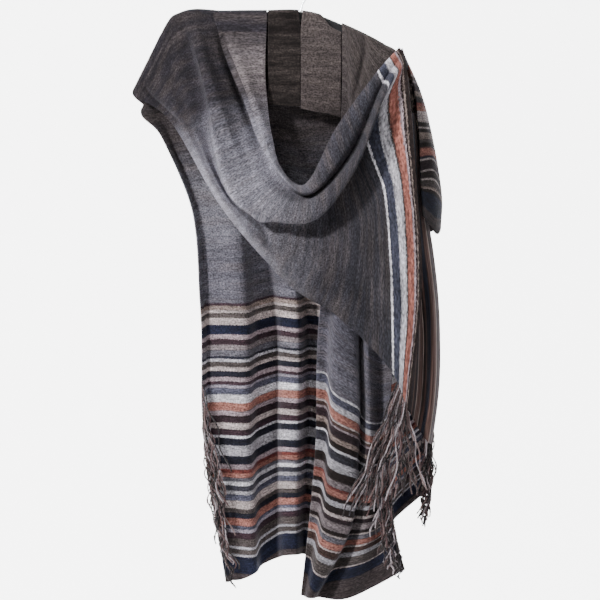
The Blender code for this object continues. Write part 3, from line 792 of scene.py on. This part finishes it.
# Twisted yarn left long at the side edges
yarn = {
    "radius": 0.00085, "ply": 0.0008, "pitch": 0.012, "segment": 0.0040, "sides": 4,
    "perLock": 6, "sideRows": 6,    # yarns to a lock, and the side's rows between two locks
    "knot": 2.1, "knotAt": (0.84, 0.93), "knotLength": 0.0028,
    "rootOut": 0.0012, "rootBend": 0.004, "rootEase": 14,
    "leanSpread": 0.06, "leanAxes": (1, 0.6, 0),
    "lateTurn": 2.2,            # how late the lean turns from first to last
    "lengthSpread": (0.86, 1.05), "leastSteps": 12,
    "swing": (0.002, 0.007), "swingGrowth": 3, "waves": (1.2, 2.6),
    "fibreScale": 900.0,        # fibres of about 1 mm, coarser than real ones so that they show
    "fibreDetail": 2.0, "fibreLight": (0.7, 1.25),
    "bump": 0.0006, "bumpStrength": 0.6, "roughness": 0.9, "specular": 0.2, "sheen": 0.25,
    "tones": ("#4c3a39", "#2b1f20", "#75605f", "#1c1517", "#563f40", "#a0959a", "#3a2a2a",
              "#262027"),
}

# Leans and lengths at the first and the last yarn. A side's fringe has its span in d, and the
# wrap's one starts some rows from the end, with a lock at every few rows
fringes = {
    "fringeBackLeft": {
        "node": "fringe_back_left", "span": (405, 585), "seed": 3, "lengths": (0.17, 0.08),
        "leans": ((0.20, -0.16, 0), (0.36, -0.14, 0))},
    "fringeBackRight": {
        "node": "fringe_back_right", "span": (405, 500), "seed": 5, "lengths": (0.15, 0.10),
        "leans": ((-0.05, -0.09, 0), (-0.14, -0.09, 0))},
    "fringeFront": {
        "node": "fringe_front", "span": (430, 582), "seed": 7, "lengths": (0.18, 0.05),
        "leans": ((-0.16, -0.16, 0), (0.02, -0.16, 0))},
    "fringeWrap": {
        "node": "fringe_wrap", "seed": 9, "lengths": (0.24, 0.14),
        "leans": ((-0.36, -0.08, 0), (0.16, -0.05, 0)), "fromEnd": 22, "every": 3},
}


def yarnMaterial():
    # carded wool yarn, two plies twisted: pale strands among brown ones
    material, tree, shader = startMaterial("twisted wool yarn")
    tone = addNode(tree, "Attribute", attribute_name="tone").outputs["Fac"]
    ramp = addNode(tree, "ValToRGB", {"Fac": tone})
    ramp.color_ramp.interpolation = "CONSTANT"
    bar = ramp.color_ramp
    tones = yarn["tones"]
    for index, text in enumerate(tones):
        if index < 2:
            stop = bar.elements[index]
            stop.position = index / len(tones)
        else:
            stop = bar.elements.new(index / len(tones))
        stop.color = hexColour(text)
    place = addNode(tree, "TexCoord").outputs["Object"]
    fibre = addNode(tree, "TexNoise", {
        "Vector": place, "Scale": yarn["fibreScale"], "Detail": yarn["fibreDetail"]})
    low, high = wool["noiseRange"]
    least, most = yarn["fibreLight"]
    light = addNode(tree, "MapRange", {
        "Value": fibre, "From Min": low, "From Max": high, "To Min": least, "To Max": most})
    colour = addNode(tree, "VectorMath", {0: ramp, 1: light}, operation="MULTIPLY")
    bump = addNode(tree, "Bump", {
        "Height": fibre, "Strength": yarn["bumpStrength"], "Distance": yarn["bump"]})
    setInputs(tree, shader, {
        "Base Color": colour, "Normal": bump, "Roughness": yarn["roughness"],
        "Specular IOR Level": yarn["specular"], "Sheen Weight": yarn["sheen"]})
    return material


def sweep(path, radii, sides):
    # rings of points round a path, with flat ends
    ahead = np.gradient(path, axis=0)
    ahead /= np.linalg.norm(ahead, axis=1)[:, None] + 1e-12
    side = np.cross(ahead, (0.31, 0.95, 0.05))
    side /= np.linalg.norm(side, axis=1)[:, None] + 1e-12
    other = np.cross(ahead, side)
    turn = np.arange(sides) / sides * 2 * math.pi
    points = (path[:, None] + (side[:, None] * np.cos(turn)[None, :, None]
              + other[:, None] * np.sin(turn)[None, :, None]) * radii[:, None, None])
    count = len(path)
    faces = []
    for ring in range(count - 1):
        for k in range(sides):
            a, b = ring * sides + k, ring * sides + (k + 1) % sides
            faces.append((a, b, b + sides, a + sides))
    faces.append(tuple(range(sides))[::-1])
    faces.append(tuple((count - 1) * sides + k for k in range(sides)))
    return points.reshape(-1, 3), faces


def makeFringe(name, edge, away, start, material):
    # edge and away are points and directions in metres along the cloth's edge
    size = fringes[name]
    node = size["node"]
    random = np.random.default_rng(size["seed"])
    start = np.array(start, float)
    leans = np.array(size["leans"], float)
    lengths = size["lengths"]
    spans = len(edge) - 1
    vertices, faces, tones = [], [], []
    total = spans * yarn["perLock"]
    for index in range(total):
        share = (index + 0.5) / total
        at = share * spans
        root = np.array([np.interp(at, range(len(edge)), edge[:, k]) for k in range(3)])
        out = np.array([np.interp(at, range(len(away)), away[:, k]) for k in range(3)])
        out /= np.linalg.norm(out)
        turn = share ** yarn["lateTurn"]
        spread = random.normal(0, yarn["leanSpread"], 3) * yarn["leanAxes"]
        lean = leans[0] * (1 - turn) + leans[1] * turn + spread
        length = lengths[0] * (1 - share) + lengths[1] * share
        length *= random.uniform(*yarn["lengthSpread"])
        steps = max(yarn["leastSteps"], int(length / yarn["segment"]))
        t = np.linspace(0, 1, steps)
        phase, swing = random.uniform(0, 2 * math.pi, 2), random.uniform(*yarn["swing"], 2)
        waves = random.uniform(*yarn["waves"], 2)
        bend = yarn["rootBend"] * (1 - np.exp(-t * yarn["rootEase"]))
        path = root + out * yarn["rootOut"] + start * bend[:, None]
        path = path + lean * (length * t)[:, None] - np.array((0, 0, 1)) * (length * t)[:, None]
        grown = np.minimum(1, t * yarn["swingGrowth"])
        for axis in range(2):
            wave = np.sin(t * waves[axis] * 2 * math.pi + phase[axis])
            path[:, axis] += wave * swing[axis] * grown
        tone = random.uniform(0, 0.999)
        knotAt = random.uniform(*yarn["knotAt"])
        knot = np.exp(-((t - knotAt) * length / yarn["knotLength"]) ** 2)
        radii = yarn["radius"] * (1 + (yarn["knot"] - 1) * knot)
        for ply in range(2):
            angle = t * length / yarn["pitch"] * 2 * math.pi + ply * math.pi
            spin = np.stack([np.cos(angle), np.sin(angle), 0 * angle], axis=1)
            points, quads = sweep(path + spin * yarn["ply"], radii, yarn["sides"])
            base = sum(len(v) for v in vertices)
            vertices.append(points)
            faces += [tuple(base + k for k in quad) for quad in quads]
            tones.append(np.full(len(points), tone))
    mesh = bpy.data.meshes.new(name)
    mesh.from_pydata(np.concatenate(vertices).tolist(), [], faces)
    attribute = mesh.attributes.new("tone", "FLOAT", "POINT")
    attribute.data.foreach_set("value", np.concatenate(tones).astype(np.float32))
    piece = addObject(name, mesh)
    mesh.materials.append(material)
    activate(piece)
    bpy.ops.object.mode_set(mode="EDIT")
    bpy.ops.mesh.select_all(action="SELECT")
    bpy.ops.mesh.normals_make_consistent(inside=False)
    bpy.ops.object.mode_set(mode="OBJECT")
    bpy.ops.object.shade_smooth()
    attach(piece, "root")
    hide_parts(node)
    print("fringe", name, total, "yarns", len(faces), "faces")
    return piece


def sideFringe(name, grid, column, material):
    span = fringes[name]["span"]
    edge = place(grid[:, column, :3])
    away = edge - place(grid[:, 2 if column == 0 else -3, :3])
    rows = (grid[:, column, 1] > span[0]) & (grid[:, column, 1] < span[1])
    keep = np.flatnonzero(rows)[::yarn["sideRows"]]
    return makeFringe(name, edge[keep], away[keep], (0, -1, 0), material)


def wrapFringe(name, grid, material):
    size = fringes[name]
    rows = slice(-size["fromEnd"], None, size["every"])
    edge = place(grid[rows, -1, :3])
    away = edge - place(grid[rows, -3, :3])
    return makeFringe(name, edge, away, (0, 0, -1), material)


# Injection moulded polypropylene, black and satin with a fine spark texture, and zinc plated
# steel wire with fine drawing lines. Both grains, of about 0.7 and 1.4 mm, are coarser than
# the real ones so that they show
hangerLooks = {
    "plastic": {
        "name": "moulded black plastic", "colours": ("#141416", "#222225"),
        "scale": 1400.0, "detail": 3.0, "roughness": (0.36, 0.52), "metallic": 0.0,
        "bump": (0.25, 0.0003)},
    "wire": {
        "name": "zinc plated steel wire", "colours": ("#a9acb0", "#c9ccd0"),
        "scale": 700.0, "detail": 4.0, "roughness": (0.18, 0.34), "metallic": 1.0},
}


def grainMaterial(look):
    material, tree, shader = startMaterial(look["name"])
    place = addNode(tree, "TexCoord").outputs["Object"]
    grain = addNode(tree, "TexNoise", {
        "Vector": place, "Scale": look["scale"], "Detail": look["detail"]})
    dark, pale = (hexColour(text) for text in look["colours"])
    shade = addNode(tree, "Mix", {"Factor": grain, 6: dark, 7: pale},
                    data_type="RGBA").outputs[2]
    least, most = look["roughness"]
    rough = addNode(tree, "MapRange", {"Value": grain, "To Min": least, "To Max": most})
    setInputs(tree, shader, {
        "Base Color": shade, "Roughness": rough, "Metallic": look["metallic"]})
    if "bump" in look:
        strength, distance = look["bump"]
        bump = addNode(tree, "Bump", {
            "Height": grain, "Strength": strength, "Distance": distance})
        setInputs(tree, shader, {"Normal": bump})
    return material


def dressHanger():
    for node, look, slot in (("hanger_body", "plastic", "hanger_plastic"),
                             ("hanger_hook", "wire", "hook_steel")):
        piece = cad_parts[node]
        piece.data.materials.clear()
        piece.data.materials.append(grainMaterial(hangerLooks[look]))
    print("hanger")


studio = {
    "distance": 5.0, "photoSize": 600, "photoCentre": (300, 300), "hookPixel": (308, -27),
    "sensor": 36.0, "floorDepth": 1.42, "floorSize": 14, "floorPaper": "#dadada",
    "wallBehind": 1.3, "wallSize": (14, 9), "wallPaper": "#f4f4f4",
    "key": ((-2.4, -2.0, 1.2), 0.5, 205), "fill": ((2.6, -3.0, 0.2), 1.6, 8),
    "top": ((0.5, -0.9, 2.0), 0.8, 38), "aim": (0, 0, -0.6),
    "worldStrength": 0.03, "wallGlow": 4.7, "floorGlow": 2.2,
    "white": "#ffffff", "paperRoughness": 0.9,
}


def makeCamera():
    centre = [(a - b) * unit for a, b in zip(studio["photoCentre"], studio["hookPixel"])]
    data = bpy.data.cameras.new("photo camera")
    data.sensor_width = studio["sensor"]
    data.lens = studio["sensor"] * studio["distance"] / (studio["photoSize"] * unit)
    data.clip_end = 50
    camera = addObject("photo camera", data)
    camera.location = (centre[0], -studio["distance"], -centre[1])
    camera.rotation_euler = (math.radians(90), 0, 0)
    bpy.context.scene.camera = camera


def paperMaterial(name, text):
    material, tree, shader = startMaterial(name)
    setInputs(tree, shader, {
        "Base Color": hexColour(text), "Roughness": studio["paperRoughness"],
        "Emission Color": hexColour(studio["white"])})
    return material, tree, shader


def wallMaterial():
    # it glows, and is clear from behind, so that the cloth's back can be seen through it
    material, tree, shader = paperMaterial("pale studio paper", studio["wallPaper"])
    setInputs(tree, shader, {"Emission Strength": studio["wallGlow"]})
    behind = addNode(tree, "NewGeometry").outputs["Backfacing"]
    clear = addNode(tree, "BsdfTransparent")
    oneSided = addNode(tree, "MixShader", {0: behind, 1: shader, 2: clear})
    setInputs(tree, tree.nodes["Material Output"], {"Surface": oneSided})
    return material


def floorMaterial():
    # it stays pale far from the lights, but lights nothing itself
    material, tree, shader = paperMaterial("pale floor paper", studio["floorPaper"])
    seen = addNode(tree, "LightPath").outputs["Is Camera Ray"]
    pale = addNode(tree, "Math", {0: seen, 1: studio["floorGlow"]}, operation="MULTIPLY")
    setInputs(tree, shader, {"Emission Strength": pale})
    return material


def addPlane(name, size, location, degrees, material):
    bpy.ops.mesh.primitive_plane_add(
        size=1, location=location, rotation=(math.radians(degrees), 0, 0))
    plane = bpy.context.object
    plane.name = plane.data.name = name
    plane.scale = (*size, 1)
    bpy.ops.object.transform_apply(location=True, rotation=True, scale=True)
    plane.data.materials.append(material)
    return plane


def makeStudio():
    # a pale floor, a wall that glows behind the cloth, and three soft lights
    deselectAll()
    wide, low, back = studio["floorSize"], -studio["floorDepth"], studio["wallBehind"]
    floor = addPlane("studioFloor", (wide, wide), (0, 0, low), 0, floorMaterial())
    wall = addPlane("studioWall", studio["wallSize"], (0, back, 0), 90, wallMaterial())
    for name in ("key", "fill", "top"):
        spot, size, power = studio[name]
        data = bpy.data.lights.new(name, "AREA")
        data.size = size
        data.energy = power
        light = addObject(name, data)
        light.location = spot
        aim = Vector(studio["aim"]) - Vector(spot)
        light.rotation_euler = aim.to_track_quat("-Z", "Y").to_euler()
    world = bpy.data.worlds.new("studio")
    world.use_nodes = True
    # dim as a light, and as pale as the wall where the camera sees it
    tree = world.node_tree
    seen = addNode(tree, "LightPath").outputs["Is Camera Ray"]
    strength = addNode(tree, "MapRange", {
        "Value": seen, "To Min": studio["worldStrength"], "To Max": studio["wallGlow"]})
    setInputs(tree, tree.nodes["Background"], {
        "Color": hexColour(studio["white"]), "Strength": strength})
    bpy.context.scene.world = world
    print("studio")


makeCamera()
backWool = woolMaterial("brushed wool, back", backPanel["look"], backStripes)
frontWool = woolMaterial("brushed wool, right front", rightFront["look"], frontStripes)
wrapWool = woolMaterial("brushed wool, wrap", wrapPanel["look"], wrapStripes)
endWool = woolMaterial("brushed wool, wrap end", wrapEnd["look"], endStripes)
tailWool = woolMaterial("brushed wool, wrap tail", wrapTail["look"], tailStripes)
neckDark = woolMaterial("brushed wool, left neck edge", neckEdge["leftLook"])
neckLight = woolMaterial("brushed wool, right neck edge", neckEdge["rightLook"])
print("materials")

back, backGrid = makeBack(backWool)
front, frontGrid = makeFront(frontWool)
wrap, wrapGrid = makeWrap(wrapWool)
end = makeEnd(endWool)
tail = makeTail(tailWool)
neckLeft = makeNeckEdge("left", "neck_edge_left", neckDark)
neckRight = makeNeckEdge("right", "neck_edge_right", neckLight)

twisted = yarnMaterial()
fringeBackLeft = sideFringe("fringeBackLeft", backGrid, 0, twisted)
fringeBackRight = sideFringe("fringeBackRight", backGrid, -1, twisted)
fringeFront = sideFringe("fringeFront", frontGrid, -1, twisted)
fringeWrap = wrapFringe("fringeWrap", wrapGrid, twisted)

dressHanger()
makeStudio()
